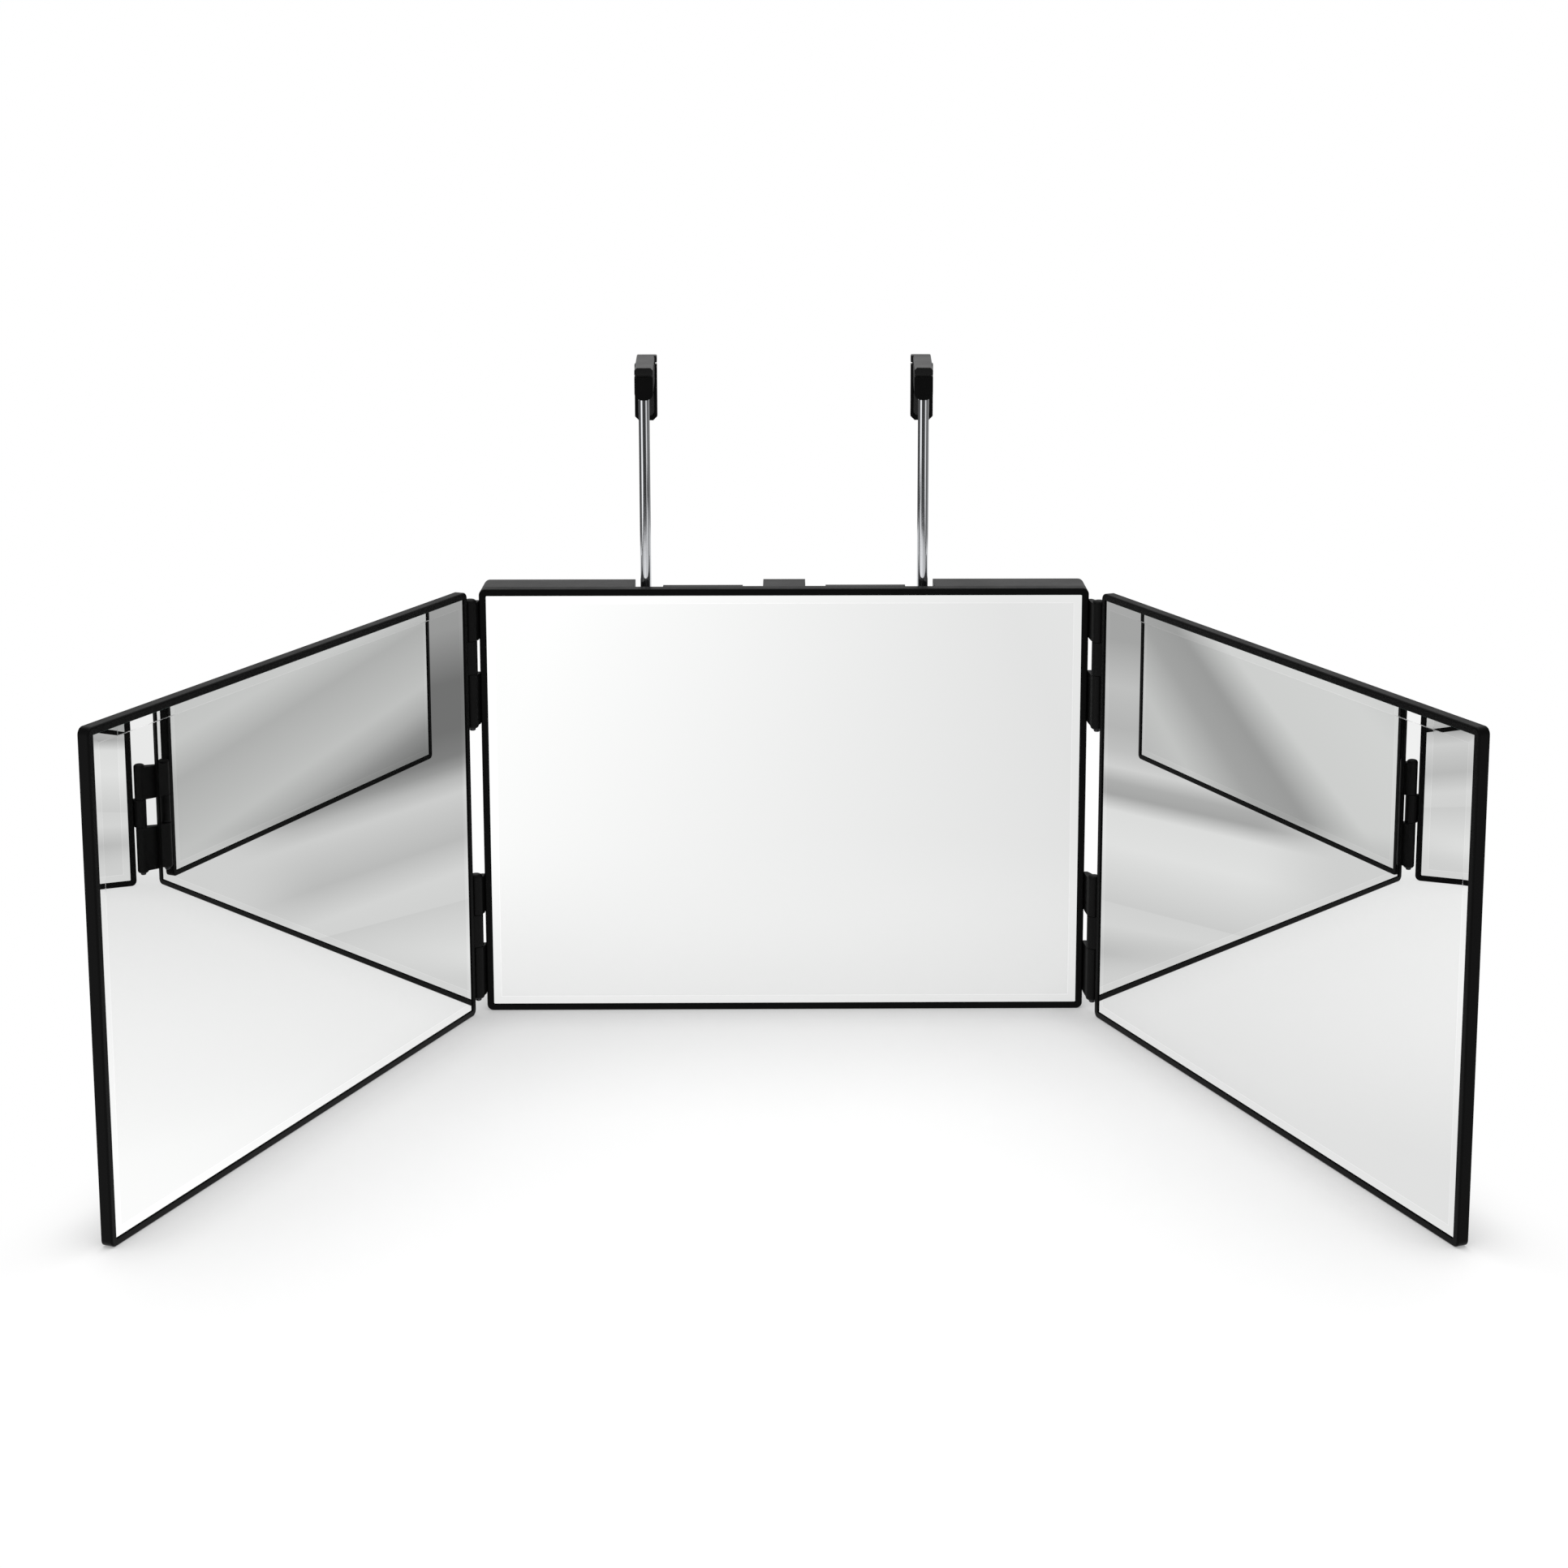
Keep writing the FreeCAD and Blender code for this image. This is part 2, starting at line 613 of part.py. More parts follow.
def hook_nodes(side):
    x = side_sign[side] * rod_x
    inner = -side_sign[side]
    bar_start = rod_y - bar_front
    bar_end = rod_y + hook_reach
    leg_front = bar_end - leg_thickness
    leg_bottom = hook_underside - leg_drop
    body_top = hook_underside + bar_height - cap_height
    half_bar = bar_width / 2
    half_leg = leg_width / 2
    bar = block(x - half_bar, x + half_bar, bar_start, leg_front, hook_underside, body_top)
    low_edges = edges_along(bar, FreeCAD.Vector(0, 1, 0), lambda centre: centre.z < hook_underside + 1e-4)
    bar = bar.makeFillet(bar_round, low_edges)
    leg = block(x - half_leg, x + half_leg, leg_front, bar_end, leg_bottom, body_top)
    foot_edges = edges_along(leg, FreeCAD.Vector(0, 1, 0), lambda centre: centre.z < leg_bottom + 1e-4)
    leg = leg.makeChamfer(leg_chamfer, foot_edges)
    pad_low = leg_bottom + pad_margin
    pad_back = leg_front + pad_thickness - pad_proud
    pad = block(
        x - pad_width / 2, x + pad_width / 2, leg_front - pad_proud, pad_back, pad_low, pad_low + pad_height
    )
    bearing = upright(x, rod_y, hook_underside, body_top, journal_radius + slide_clearance)
    cavity = upright(x, rod_y, hook_underside + bearing_length, body_top, cavity_radius)
    cap_low = body_top + seam_height
    cap_high = hook_underside + bar_height
    outlines = [
        lid_outline(x, y, half_bar, cap_low, cap_high, cut)
        for y, cut in ((bar_start, cap_chamfer), (bar_end, cap_chamfer_leg))
    ]
    lid = Part.makeLoft(outlines, True, True)
    neck = block(
        x - half_bar + seam_inset, x + half_bar - seam_inset,
        bar_start + seam_inset, bar_end - seam_inset, body_top, cap_low,
    )
    # over the leg the cap and its neck widen on the side that faces the other hook
    wide_lid = block(x, x + inner * half_leg, leg_front, bar_end, cap_low, cap_high)
    wide_edge = edges_along(
        wide_lid, FreeCAD.Vector(0, 1, 0),
        lambda centre: centre.z > cap_high - 1e-4 and abs(centre.x - x) > half_bar,
    )
    wide_lid = wide_lid.makeChamfer(cap_chamfer_leg, wide_edge)
    wide_neck = block(
        x, x + inner * (half_leg - seam_inset),
        leg_front + seam_inset, bar_end - seam_inset, body_top, cap_low,
    )
    nodes = {
        f"{side}_hook_body": joined([bar, leg]).cut([bearing, cavity, pad]),
        f"{side}_hook_cap": joined([lid, neck, wide_lid, wide_neck]),
        f"{side}_hook_pad": pad,
    }
    for shape in nodes.values():
        shape.rotate(FreeCAD.Vector(x, rod_y, 0), FreeCAD.Vector(0, 0, 1), -side_sign[side] * toe_out)
    return nodes


nodes = centre_nodes()
nodes["back_housing"] = back_housing()
nodes["housing_screws"] = housing_screws()
for side in side_sign:
    nodes.update(wing_nodes(side))
    nodes.update(guide_nodes(side))
    nodes.update(rod_nodes(side))
    nodes.update(hook_nodes(side))

for name, shape in sorted(nodes.items()):
    shape.exportStep(f"parts/{name}.step")
print(len(nodes), "nodes")
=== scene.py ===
import json
import math

import bmesh
import bpy
import numpy as np
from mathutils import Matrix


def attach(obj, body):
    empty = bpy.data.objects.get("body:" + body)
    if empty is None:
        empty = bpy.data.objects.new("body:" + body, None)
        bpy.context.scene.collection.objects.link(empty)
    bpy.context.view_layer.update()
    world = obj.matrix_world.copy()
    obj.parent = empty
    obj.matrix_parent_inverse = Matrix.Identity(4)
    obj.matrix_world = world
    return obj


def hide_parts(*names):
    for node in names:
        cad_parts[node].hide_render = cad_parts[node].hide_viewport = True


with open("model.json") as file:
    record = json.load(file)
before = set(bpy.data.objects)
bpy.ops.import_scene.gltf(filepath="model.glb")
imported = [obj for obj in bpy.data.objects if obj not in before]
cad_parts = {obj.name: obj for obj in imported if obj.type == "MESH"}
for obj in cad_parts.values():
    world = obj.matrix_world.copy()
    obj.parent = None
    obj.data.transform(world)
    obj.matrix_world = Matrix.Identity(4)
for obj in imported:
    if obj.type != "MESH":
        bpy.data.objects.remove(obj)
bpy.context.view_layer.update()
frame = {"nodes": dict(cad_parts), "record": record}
print("frame loaded:", len(frame["nodes"]), "nodes")

# camera: a little above the mirror, looking slightly down
camera = dict(
    lens=63.68, sensor=36.0,           # mm
    place=(0.0013, -1.3058, 0.4623),   # metres
    lookDown=10.0,                     # degrees below level
    turn=-0.6189,                      # degrees to the left
    frameDrop=-0.1580,                 # shares of the frame's width
    frameSide=-0.0206,
)


def makeCamera(look):
    data = bpy.data.cameras.new("camera")
    data.sensor_width = look["sensor"]
    data.lens = look["lens"]
    data.shift_x = look["frameSide"]
    data.shift_y = look["frameDrop"]
    made = bpy.data.objects.new("camera", data)
    bpy.context.scene.collection.objects.link(made)
    made.location = look["place"]
    made.rotation_euler = (math.radians(90.0 - look["lookDown"]), 0.0, math.radians(look["turn"]))
    bpy.context.scene.camera = made


makeCamera(camera)
bpy.context.scene.view_settings.view_transform = "Standard"
print("camera set")


# node helpers
# values holds numbers or sockets for the node's inputs, by name or number
def addNode(tree, kind, values=None, **settings):
    made = tree.nodes.new(kind)
    for key, value in settings.items():
        setattr(made, key, value)
    for key, value in (values or {}).items():
        if isinstance(value, bpy.types.NodeSocket):
            tree.links.new(value, made.inputs[key])
        else:
            made.inputs[key].default_value = value
    return made


def calc(tree, operation, first, second=0.0, third=0.0):
    return addNode(tree, "ShaderNodeMath", {0: first, 1: second, 2: third}, operation=operation).outputs[0]


def blendColour(tree, share, low, high):
    made = addNode(tree, "ShaderNodeMix", data_type="RGBA")
    for socket, value in ((made.inputs["Factor"], share), (made.inputs[6], low), (made.inputs[7], high)):
        if isinstance(value, bpy.types.NodeSocket):
            tree.links.new(value, socket)
        else:
            socket.default_value = value
    return made.outputs[2]


def spread(tree, value, fromLow, fromHigh, toLow, toHigh, smooth=False):
    kind = "SMOOTHSTEP" if smooth else "LINEAR"
    made = addNode(
        tree, "ShaderNodeMapRange",
        {"Value": value, "From Min": fromLow, "From Max": fromHigh, "To Min": toLow, "To Max": toHigh},
        interpolation_type=kind,
    )
    return made.outputs["Result"]


def noise(tree, place, scale, detail=3.0, roughness=0.5):
    made = addNode(
        tree, "ShaderNodeTexNoise",
        {"Vector": place, "Scale": scale, "Detail": detail, "Roughness": roughness},
    )
    return made.outputs["Fac"]


def objectPlace(tree, stretch=(1.0, 1.0, 1.0)):
    place = addNode(tree, "ShaderNodeTexCoord").outputs["Object"]
    if stretch == (1.0, 1.0, 1.0):
        return place
    return addNode(tree, "ShaderNodeMapping", {"Vector": place, "Scale": stretch}).outputs[0]


def startMaterial(name):
    made = bpy.data.materials.new(name)
    made.use_nodes = True
    tree = made.node_tree
    tree.nodes.clear()
    shader = tree.nodes.new("ShaderNodeBsdfPrincipled")
    end = tree.nodes.new("ShaderNodeOutputMaterial")
    tree.links.new(shader.outputs[0], end.inputs["Surface"])
    return made, tree, shader


def grey(value):
    return (value, value, value, 1.0)


# how near a point is to an outer edge, where the rounded normal turns away from the true one; there the
# colour is lighter, rubbed wear and a painted highlight
def edgeWearAndHighlight(tree, radius, low, high):
    rounded = addNode(tree, "ShaderNodeBevel", {"Radius": radius}, samples=6).outputs[0]
    true = addNode(tree, "ShaderNodeNewGeometry").outputs["Normal"]
    alike = addNode(tree, "ShaderNodeVectorMath", {0: rounded, 1: true}, operation="DOT_PRODUCT")
    return rounded, spread(tree, alike.outputs["Value"], 1.0 - low, 1.0 - high, 0.0, 1.0)


# black plastics: what all of them share, then each one's own
plasticWear = dict(
    cloudScale=45.0, cloudDetail=4.0, cloudRough=0.6, shade=0.15,      # slow changes of colour and gloss
    handledScale=260.0, handledLeast=0.25, rubbedGloss=0.06,           # edges rubbed smooth in places, and lighter there: wear and a painted highlight
    edgeLow=0.04, edgeHigh=0.30, grainStrength=0.6,
    handledSpan=(0.35, 0.65), cloudSpan=(0.3, 0.7),                    # where each noise starts and ends
)
# edge is the lighter colour at outer edges: partly rubbed wear, partly a painted highlight
plastics = {
    "framePlastic": dict(colour=0.0038, edge=0.009, rough=0.38, drift=0.10, grain=3200.0, height=0.000010,
                         gloss=0.050, edgeRadius=0.0004),
    "housingPlastic": dict(colour=0.0140, edge=0.028, rough=0.55, drift=0.12, grain=2100.0, height=0.000030,
                           gloss=0.49, edgeRadius=0.0005),
    "hingePlastic": dict(colour=0.0040, edge=0.010, rough=0.46, drift=0.10, grain=2600.0, height=0.000016,
                         gloss=0.10, edgeRadius=0.0004),
    "hookPlastic": dict(colour=0.0030, edge=0.008, rough=0.38, drift=0.08, grain=4200.0, height=0.000006,
                        gloss=0.070, edgeRadius=0.0004),
    "capPlastic": dict(colour=0.0085, edge=0.018, rough=0.34, drift=0.08, grain=4200.0, height=0.000006,
                       gloss=0.165, edgeRadius=0.0004),
    "bushPlastic": dict(colour=0.0100, edge=0.020, rough=0.50, drift=0.08, grain=2200.0, height=0.000010,
                        gloss=0.30, edgeRadius=0.0003),
}


def blackPlastic(name, look, wear=plasticWear):
    made, tree, shader = startMaterial(name)
    place = objectPlace(tree)
    cloudy = noise(tree, place, wear["cloudScale"], wear["cloudDetail"], wear["cloudRough"])
    handled = noise(tree, place, wear["handledScale"])
    grain = noise(tree, place, look["grain"], 2.0)
    rounded, edge = edgeWearAndHighlight(tree, look["edgeRadius"], wear["edgeLow"], wear["edgeHigh"])
    kept = spread(tree, handled, *wear["handledSpan"], wear["handledLeast"], 1.0)
    rubbedAndHighlit = calc(tree, "MULTIPLY", edge, kept)
    dark, pale = look["colour"] * (1.0 - wear["shade"]), look["colour"] * (1.0 + wear["shade"])
    base = blendColour(tree, cloudy, grey(dark), grey(pale))
    # lighter colour at the outer edges: rubbed wear and a painted highlight
    tree.links.new(blendColour(tree, rubbedAndHighlit, base, grey(look["edge"])), shader.inputs["Base Color"])
    half = look["drift"] / 2
    rough = spread(tree, cloudy, *wear["cloudSpan"], look["rough"] - half, look["rough"] + half)
    rough = calc(tree, "SUBTRACT", rough, calc(tree, "MULTIPLY", rubbedAndHighlit, wear["rubbedGloss"]))
    tree.links.new(rough, shader.inputs["Roughness"])
    bump = addNode(
        tree, "ShaderNodeBump",
        {"Strength": wear["grainStrength"], "Distance": look["height"], "Height": grain, "Normal": rounded},
    )
    tree.links.new(bump.outputs[0], shader.inputs["Normal"])
    shader.inputs["Specular IOR Level"].default_value = look["gloss"]
    return made


# mirror, chrome and steel
# smear is the roughness that wiping leaves, where the smears' noise runs from smearLow to smearHigh
smearLook = dict(scale=26.0, stretch=(1.0, 1.0, 2.5), detail=5.0, rough=0.65, smearLow=0.52, smearHigh=0.80)
mirrorLook = dict(colour=(0.858, 0.862, 0.858, 1.0), smear=0.012)
# the bevel reflects a little more than the flat front: a painted highlight round the glass's edge
bevelLook = dict(colour=(0.893, 0.897, 0.893, 1.0), smear=0.010)


# silvered glass: a clean reflection, with faint smears left by wiping
def mirrorGlass(name, look, wiped=smearLook):
    made, tree, shader = startMaterial(name)
    place = objectPlace(tree, wiped["stretch"])
    smears = noise(tree, place, wiped["scale"], wiped["detail"], wiped["rough"])
    shader.inputs["Base Color"].default_value = look["colour"]
    shader.inputs["Metallic"].default_value = 1.0
    rough = spread(tree, smears, wiped["smearLow"], wiped["smearHigh"], 0.0, look["smear"])
    tree.links.new(rough, shader.inputs["Roughness"])
    return made


glassEdgeLook = dict(colour=(0.30, 0.42, 0.40), darker=0.9, grind=300.0, rough=0.16, metal=0.6)
bevelLineLook = dict(colour=(1.0, 1.0, 1.0), darker=0.9, grind=300.0, rough=0.05, metal=1.0)
# the back paint's edge colour is lighter too: rubbed wear and a painted highlight
paintLook = dict(colour=0.10, edge=0.12, rough=0.55, drift=0.10, grain=1500.0, height=0.000008, gloss=0.40,
                 edgeRadius=0.0002)


# the plate's cut edge, ground smooth and faintly green, and the fine line where the bevel ends, whose white,
# fully reflecting colour is a painted highlight
def glassEdge(name, look):
    made, tree, shader = startMaterial(name)
    lines = noise(tree, objectPlace(tree, (look["grind"],) * 3), 1.0, 2.0)
    darker = tuple(look["darker"] * part for part in look["colour"])
    ground = blendColour(tree, lines, look["colour"] + (1.0,), darker + (1.0,))
    tree.links.new(ground, shader.inputs["Base Color"])
    shader.inputs["Roughness"].default_value = look["rough"]
    shader.inputs["Metallic"].default_value = look["metal"]
    return made


metalWear = dict(cloudScale=120.0, cloudDetail=4.0, span=(0.35, 0.65), lineStrength=0.5)
metals = {
    "rodChrome": dict(colour=(0.60, 0.61, 0.63, 1.0), rough=0.07, drift=0.04, lines=(900.0, 900.0, 14.0),
                      height=0.000002),
    "tubeSteel": dict(colour=(0.42, 0.42, 0.43, 1.0), rough=0.34, drift=0.12, lines=(700.0, 700.0, 20.0),
                      height=0.000004),
    "screwZinc": dict(colour=(0.50, 0.50, 0.49, 1.0), rough=0.28, drift=0.14, lines=(1500.0, 1500.0, 1500.0),
                      height=0.000006),
    "pinSteel": dict(colour=(0.045, 0.045, 0.048, 1.0), rough=0.36, drift=0.12, lines=(1500.0, 1500.0, 400.0),
                     height=0.000004),
}


def plainMetal(name, look, wear=metalWear):
    made, tree, shader = startMaterial(name)
    lines = noise(tree, objectPlace(tree, look["lines"]), 1.0)
    cloudy = noise(tree, objectPlace(tree), wear["cloudScale"], wear["cloudDetail"])
    shader.inputs["Base Color"].default_value = look["colour"]
    shader.inputs["Metallic"].default_value = 1.0
    half = look["drift"] / 2
    mixed = calc(tree, "MULTIPLY", calc(tree, "ADD", lines, cloudy), 0.5)
    rough = spread(tree, mixed, *wear["span"], look["rough"] - half, look["rough"] + half)
    tree.links.new(rough, shader.inputs["Roughness"])
    bump = addNode(
        tree, "ShaderNodeBump",
        {"Strength": wear["lineStrength"], "Distance": look["height"], "Height": lines},
    )
    tree.links.new(bump.outputs[0], shader.inputs["Normal"])
    return made


# foam pad and adhesive sheet
foamWear = dict(patchScale=200.0, mottle=0.6, cellStrength=0.8)
foams = {
    "padFoam": dict(low=0.010, high=0.024, rough=0.92, cell=1500.0, height=0.00012),
    "tapeFoam": dict(low=0.60, high=0.72, rough=0.80, cell=900.0, height=0.00005),
}


def cellFoam(name, look, wear=foamWear):
    made, tree, shader = startMaterial(name)
    place = objectPlace(tree)
    voronoi = addNode(tree, "ShaderNodeTexVoronoi", {"Vector": place, "Scale": look["cell"]})
    cells = voronoi.outputs["Distance"]
    patch = noise(tree, place, wear["patchScale"])
    shade = calc(tree, "MULTIPLY", calc(tree, "ADD", cells, patch), wear["mottle"])
    colour = blendColour(tree, shade, grey(look["low"]), grey(look["high"]))
    tree.links.new(colour, shader.inputs["Base Color"])
    shader.inputs["Roughness"].default_value = look["rough"]
    bump = addNode(
        tree, "ShaderNodeBump",
        {"Strength": wear["cellStrength"], "Distance": look["height"], "Height": cells},
    )
    tree.links.new(bump.outputs[0], shader.inputs["Normal"])
    return made


materials = {name: blackPlastic(name, look) for name, look in plastics.items()}
materials.update({name: plainMetal(name, look) for name, look in metals.items()})
materials.update({name: cellFoam(name, look) for name, look in foams.items()})
materials["mirrorGlass"] = mirrorGlass("mirrorGlass", mirrorLook)
materials["bevelGlass"] = mirrorGlass("bevelGlass", bevelLook)
materials["glassEdge"] = glassEdge("glassEdge", glassEdgeLook)
materials["bevelLine"] = glassEdge("bevelLine", bevelLineLook)
materials["backPaint"] = blackPlastic("backPaint", paintLook)
print("materials made:", len(materials))

# shapes: points are worked out in millimetres
mm = 0.001
panel = dict(height=209.0, centreWidth=290.0, wingWidth=289.0, rimFront=-13.25)
# hinge axis, how far a wing's edge is beyond it and its front before it, and its angle at rest
folds = {
    "left_wing": dict(side=-1, axis=(-149.0, -14.75), reach=4.0, setback=1.0, fold=67.0),
    "right_wing": dict(side=1, axis=(149.0, -20.35), reach=4.0, setback=1.0, fold=67.0),
}
toeOut = 1.8                           # degrees that a hanging hook points outwards


# points round a rectangle from 0, 0: four quarter circles joined by straight runs
def roundedOutline(width, height, radius, arc):
    turn = np.linspace(0.0, math.pi / 2, arc)
    far, high = width - radius, height - radius
    centres = ((far, high), (radius, high), (radius, radius), (far, radius))
    corners = []
    for quarter, (x, z) in enumerate(centres):
        angle = turn + quarter * math.pi / 2
        corners.append(np.column_stack((x + radius * np.cos(angle), z + radius * np.sin(angle))))
    return np.vstack(corners)


# four-sided faces between the rows of a closed band, and one face over each end
def bandFaces(rows, columns):
    row, column = np.meshgrid(np.arange(rows - 1), np.arange(columns), indexing="ij")
    here, beside = row * columns + column, row * columns + (column + 1) % columns
    quads = np.stack((here, beside, beside + columns, here + columns), axis=-1).reshape(-1, 4).tolist()
    return quads + [list(range(columns)), list(range((rows - 1) * columns, rows * columns))]


# the faces of a square grid of points, and its rim's points in order
def squareGrid(count):
    i, j = np.meshgrid(np.arange(count - 1), np.arange(count - 1), indexing="ij")
    here = i * count + j
    quads = np.stack((here, here + count, here + count + 1, here + 1), axis=-1).reshape(-1, 4)
    run, last = np.arange(count - 1), count - 1
    rim = np.concatenate((run * count, last * count + run, (last - run) * count + last, last - run))
    return quads, rim


# a profile of (inset from the edge, depth behind the rim's front) carried round a rounded rectangle:
# each profile point gives one outline, smaller by its inset, and the outlines follow each other
def carryProfile(profile, width, height, radius, arc=7, leastRadius=0.05):    # arc: points on each corner
    rows = []
    for inset, depth in profile:
        flat = roundedOutline(width - 2 * inset, height - 2 * inset, max(radius - inset, leastRadius), arc)
        rows.append(np.column_stack((flat[:, 0] + inset, np.full(len(flat), depth), flat[:, 1] + inset)))
    return np.vstack(rows), bandFaces(len(profile), 4 * arc)


# a profile of (radius, height) turned about the Z axis, closed over at both ends
def turnProfile(profile, around):
    angle = np.linspace(0.0, 2 * math.pi, around, endpoint=False)
    radius, height = (np.array(values)[:, None] for values in zip(*profile))
    points = np.stack((radius * np.cos(angle), radius * np.sin(angle), height + 0 * angle), axis=-1)
    return points.reshape(-1, 3), bandFaces(len(profile), around)


# points turned about an upright axis by an angle in degrees
def turned(points, axis, degrees):
    turn = math.radians(degrees)
    x, y = points[:, 0] - axis[0], points[:, 1] - axis[1]
    movedX = x * math.cos(turn) - y * math.sin(turn) + axis[0]
    movedY = x * math.sin(turn) + y * math.cos(turn) + axis[1]
    return np.column_stack((movedX, movedY, points[:, 2]))


# from (along, behind the rim's front, up) on a panel to its place in the frame
def onPanel(points, body):
    if body == "centre":
        return points + np.array((-panel["centreWidth"] / 2, panel["rimFront"], 0.0))
    wing = folds[body]
    side, (axisX, axisY) = wing["side"], wing["axis"]
    flat = np.column_stack((
        axisX + side * (points[:, 0] + wing["reach"]), axisY + points[:, 1] - wing["setback"], points[:, 2]
    ))
    return turned(flat, wing["axis"], -side * wing["fold"])


# left_hook_pad becomes leftHookPad
def camel(nodeName):
    first, *others = nodeName.split("_")
    return first + "".join(word.title() for word in others)


def settle(piece, body, replaced):
    bpy.context.scene.collection.objects.link(piece)
    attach(piece, body)
    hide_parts(*replaced)
    return piece


# a piece from points and faces; faceFinish says which of its finishes each face wears
def addPiece(name, points, faces, finishNames, body, replaced, smoothBelow=32.0, faceFinish=None):
    mesh = bpy.data.meshes.new(name)
    mesh.from_pydata((np.asarray(points) * mm).tolist(), [], faces)
    for one in finishNames:
        mesh.materials.append(materials[one])
    if faceFinish is not None:
        mesh.polygons.foreach_set("material_index", faceFinish)
    shell = bmesh.new()
    shell.from_mesh(mesh)
    bmesh.ops.recalc_face_normals(shell, faces=shell.faces)
    shell.to_mesh(mesh)
    shell.free()
    mesh.polygons.foreach_set("use_smooth", np.ones(len(mesh.polygons), bool))
    mesh.set_sharp_from_angle(angle=math.radians(smoothBelow))
    return settle(bpy.data.objects.new(name, mesh), body, replaced)


# mirror glass: a plate with a ground bevel, a fine line where it ends, and a painted back
glassLook = dict(inset=3.2, front=0.6, back=2.6, bevel=3.7, drop=0.006, arris=0.15, line=0.35, corner=0.6,
                 smooth=0.02)          # degrees, less than the bevel's slope


# profile from the back round the ground edge, then along the bevel and its fine line to the flat front
def mirrorPlate(body, node, width, look):
    wide, high = width - 2 * look["inset"], panel["height"] - 2 * look["inset"]
    shoulder = look["front"] + look["drop"]
    lineEnd = look["bevel"] + look["line"]
    profile = [
        (look["arris"], look["back"]), (0.0, look["back"] - look["arris"]),
        (0.0, shoulder + look["arris"]), (look["arris"], shoulder),
        (look["bevel"], look["front"]), (lineEnd, look["front"]),
    ]
    points, faces = carryProfile(profile, wide, high, look["corner"])
    points = onPanel(points + np.array((look["inset"], 0.0, look["inset"])), body)
    around = (len(faces) - 2) // (len(profile) - 1)
    finishNames = ("mirrorGlass", "glassEdge", "backPaint", "bevelLine", "bevelGlass")
    # the cut edge's three bands, the bevel and its line; then the back and the flat front
    kinds = np.append(np.repeat((1, 1, 1, 4, 3), around), (2, 0))
    addPiece(camel(node), points, faces, finishNames, body, [node], look["smooth"], kinds)


mirrorPlate("centre", "centre_mirror", panel["centreWidth"], glassLook)
for body in folds:
    mirrorPlate(body, body + "_mirror", panel["wingWidth"], glassLook)
print("mirror plates made")

# rods: polished, with a spigot below and a journal with its clip groove above
rodLook = dict(x=66.4, y=3.25, radius=2.6, journal=2.1, spigot=1.8, groove=1.6, low=114.0, shoulder=122.0,
               top=297.7, grooveLow=303.7, grooveHigh=304.5, tip=305.7, edge=0.35, around=64)


# profile up the rod as (radius, height): spigot, shoulder, shaft, journal, groove and tip
def polishedRod(side, sign, look):
    edge, tip, shoulder = look["edge"], look["tip"], look["shoulder"]
    profile = [
        (look["spigot"] - edge, look["low"]), (look["spigot"], look["low"] + edge),
        (look["spigot"], shoulder),
        (look["radius"] - edge, shoulder), (look["radius"], shoulder + edge),
        (look["radius"], look["top"] - edge), (look["radius"] - edge, look["top"]),
        (look["journal"], look["top"]), (look["journal"], look["grooveLow"]),
        (look["groove"], look["grooveLow"]), (look["groove"], look["grooveHigh"]),
        (look["journal"], look["grooveHigh"]), (look["journal"], tip - edge), (look["journal"] - edge, tip),
    ]
    points, faces = turnProfile(profile, look["around"])
    points = points + np.array((sign * look["x"], look["y"], 0.0))
    node = side + "_rod"
    addPiece(camel(node), points, faces, ["rodChrome"], node, [node])


# foam pads on the hooks' legs
padLook = dict(width=8.0, height=12.0, thick=1.3, crown=0.22, edgeFall=0.3, edgeFrom=0.86, low=283.5,
               front=51.85, corner=0.15, cornerPower=8, steps=25, smooth=50.0)


# a grid over the pad from -1 to 1 both ways, its corners drawn in; the front swells towards the middle
# with the fourth power of the distance and falls away at the rim
def foamPad(side, sign, look):
    count = look["steps"]
    steps = np.linspace(-1.0, 1.0, count)
    a, b = np.meshgrid(steps, steps, indexing="ij")
    drawnIn = 1.0 - look["corner"] * (np.minimum(np.abs(a), np.abs(b)) ** look["cornerPower"])
    across, up = a * drawnIn * look["width"] / 2, b * drawnIn * look["height"] / 2
    swell = (1.0 - a ** 4) * (1.0 - b ** 4)
    rim = np.clip(np.maximum(np.abs(a), np.abs(b)) - look["edgeFrom"], 0.0, None) / (1.0 - look["edgeFrom"])
    front = look["front"] + look["crown"] * (1.0 - swell) + look["edgeFall"] * rim ** 2
    back = np.full_like(a, look["front"] + look["thick"])
    points = np.vstack([np.stack((across, y, up), axis=-1).reshape(-1, 3) for y in (front, back)])
    quads, edge = squareGrid(count)
    far = count * count
    walls = np.stack((edge, np.roll(edge, -1), np.roll(edge, -1) + far, edge + far), axis=-1)
    faces = np.vstack((quads, quads[:, ::-1] + far, walls)).tolist()
    points = points + np.array((sign * rodLook["x"], 0.0, look["low"] + look["height"] / 2))
    points = turned(points, (sign * rodLook["x"], rodLook["y"]), -sign * toeOut)
    body, node = side + "_hook", side + "_hook_pad"
    pad = addPiece(camel(node), points, faces, ["padFoam"], body, [node], look["smooth"])


# screws
screwLook = dict(
    housing=dict(radius=2.8, edge=0.3, seat=-1.85, high=2.2, dome=0.55, shank=1.5, shankEnd=-9.65),
    wing=dict(radius=1.8, skin=0.8, shank=1.0, shankLength=1.2, inset=8.0, back=5.0, pitch=8.0),
    crossHalf=0.16, crossLength=0.62, crossDeep=0.42, crossRise=0.45, wallLean=0.03,   # shares of the radius
    steps=13, smooth=30.0,
    housingPlaces=((121.0, 18.0), (121.0, 183.0), (30.0, 96.0)), wingHeights=(41.5, 176.5),
)


